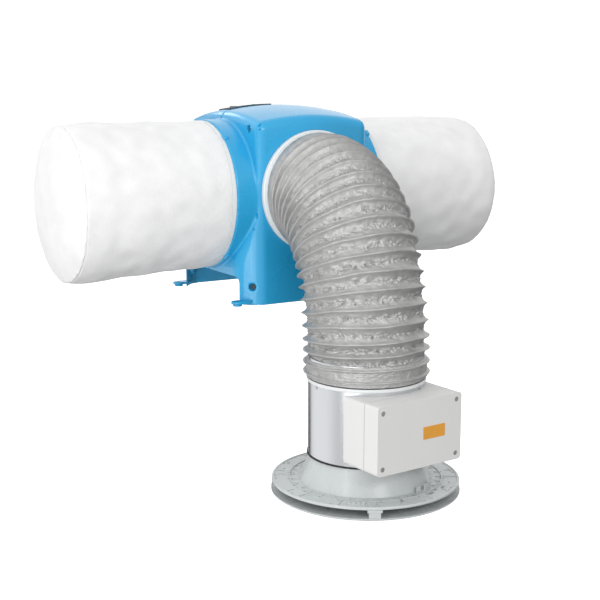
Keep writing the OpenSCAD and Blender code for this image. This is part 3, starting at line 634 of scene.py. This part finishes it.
# two rows of rib frames, three gusset posts, bars at the rim and the frames' long walls
ribs = [(r, -16 + 8 * k, 0.6, (3.2, 5.5, 2.2), -128) for k in range(5) for r in (136, 142)]
ribs += [(r, 0, 5, (3, 9, 11), a) for a, r in ((-76, 118), (-68, 121), (-60, 118))]
ribs += [(151, 0, 0.4, (3, 14, 1.8), a) for a in range(-100, 120, 40)]
ribs += [(139, 0, 0.6, (24, 1.4, 2.0), a) for a in (-140, -116)]
boxes("flange_ribs", ribs, slot_of["diffuser_flange"], 0.5)

# painted shade: flat grey marks standing in for the shade in grooves: ticks inside the raised circle,
# lines outside it, holes at the rim, and a few slots
groove_shade_marks = [(130, (8, 1.5), 7.5 + 15 * k) for k in range(24)]
groove_shade_marks += [(147, (13, 1.1), 20 + 40 * k) for k in range(9)]
groove_shade_marks += [(153, (2.6, 2.6), 5 + 30 * k) for k in range(12)]
groove_shade_marks += [(137, (5, 12), -72), (132, (9, 4), -64), (139, (4, 9), -56), (126, (4, 8), -84),
          (136, (10, 3), -98)]
boxes("flange_groove_shade", [(r, 0, 0.15, (l, w, 0.5), a) for r, (l, w), a in groove_shade_marks], "grey_plastic", 0)

# ---------------------------------------------------------------- stage
bpy.ops.mesh.primitive_plane_add(size=60, location=(0, 0, FLOOR_Z * MM))
floor = bpy.context.object
floor.name = "floor"
floor.data.materials.append(floor_white)
floor.visible_diffuse = False       # the white floor doesn't wash out what hangs over it
floor.visible_glossy = False

# ---------------------------------------------------------------- room, lights and camera
scene = bpy.context.scene
world = bpy.data.worlds.new("room")
scene.world = world
world.use_nodes = True
wn = world.node_tree
bg = wn.nodes["Background"]
co = wn.nodes.new("ShaderNodeTexCoord")
sep = wn.nodes.new("ShaderNodeSeparateXYZ")
wn.links.new(co.outputs["Generated"], sep.inputs["Vector"])
right, away, high = (sep.outputs[k] for k in "XYZ")         # parts of a direction, each -1 to 1


def ramp(src, a, b, lo, hi):
    m = wn.nodes.new("ShaderNodeMapRange")
    m.interpolation_type = "SMOOTHSTEP"
    for k, v in (("From Min", a), ("From Max", b), ("To Min", lo), ("To Max", hi)):
        m.inputs[k].default_value = v
    wn.links.new(src, m.inputs["Value"])
    return m.outputs["Result"]


def calc(op, *values):
    m = wn.nodes.new("ShaderNodeMath")
    m.operation = op
    for socket, v in zip(m.inputs, values):
        if isinstance(v, float):
            socket.default_value = v
        else:
            wn.links.new(v, socket)
    return m.outputs["Value"]


def add(*values):
    return calc("ADD", *values)


def times(*values):
    return calc("MULTIPLY", *values)


BACKDROP = 1.06
# in front of the object: brighter on the left, overhead and behind the camera
front_room = add(add(ramp(right, -0.75, 0.60, 0.66, 0.27), ramp(high, 0.05, 0.9, 0.0, 0.46)),
                 ramp(away, -1.0, -0.45, 0.56, 0.0))
# beyond the object: white
total = add(times(front_room, ramp(away, -0.15, 0.45, 1.0, 0.0)),
            times(ramp(away, -0.15, 0.45, 0.0, 1.0), BACKDROP))
# below: dim on the right
below = times(ramp(high, -0.45, -0.02, -1.0, 0.0), ramp(right, -0.5, 0.3, 0.0, 0.84))
total = times(total, add(below, 1.0))
# a dark screen straight beyond, for the steel tube's edge to reflect
screen = times(ramp(right, -0.14, -0.06, 0.0, 1.0), ramp(right, 0.06, 0.14, 1.0, 0.0))
total = add(total, times(screen, ramp(away, 0.88, 0.94, 0.0, -0.85)))
# where the room itself is seen it is plain white
seen = wn.nodes.new("ShaderNodeLightPath").outputs["Is Camera Ray"]
total = add(times(total, calc("SUBTRACT", 1.0, seen)), times(seen, BACKDROP))
wn.links.new(total, bg.inputs["Strength"])
bg.inputs["Color"].default_value = (1, 1, 1, 1)


def area(name, loc, at, size, power):
    """A lamp at loc, in metres, that faces the place at."""
    d = bpy.data.lights.new(name, "AREA")
    d.shape = "RECTANGLE"
    d.size, d.size_y = size
    d.energy = power
    o = bpy.data.objects.new(name, d)
    scene.collection.objects.link(o)
    o.location = loc
    o.rotation_euler = (Vector(at) - Vector(loc)).to_track_quat("-Z", "Y").to_euler()
    return o


area("key", (-1.5, -0.9, 0.62), (0, -0.1, 0.2), (0.05, 1.76), 4.4)
area("rim", (-0.5, 2.6, 1.75), (0, 0, 0.3), (0.9, 0.6), 6)
area("low_left", (-1.2, -1.0, -0.22), (-0.35, 0, 0.1), (0.9, 0.5), 3.4)
area("front_fill", (-0.2, -2.8, 1.3), (0, -0.1, 0.1), (0.9, 0.6), 10)

cam = bpy.data.cameras.new("camera")
cam_o = bpy.data.objects.new("camera", cam)
scene.collection.objects.link(cam_o)
cam.sensor_width = 36
cam.lens = 70.52
cam_o.location = (-1.0813, -1.9170, 0.3852)
cam_o.rotation_euler = (math.radians(90 - 10.4906), 0, math.radians(-30.6046))
scene.camera = cam_o
scene.view_settings.view_transform = "Standard"
scene.view_settings.look = "None"
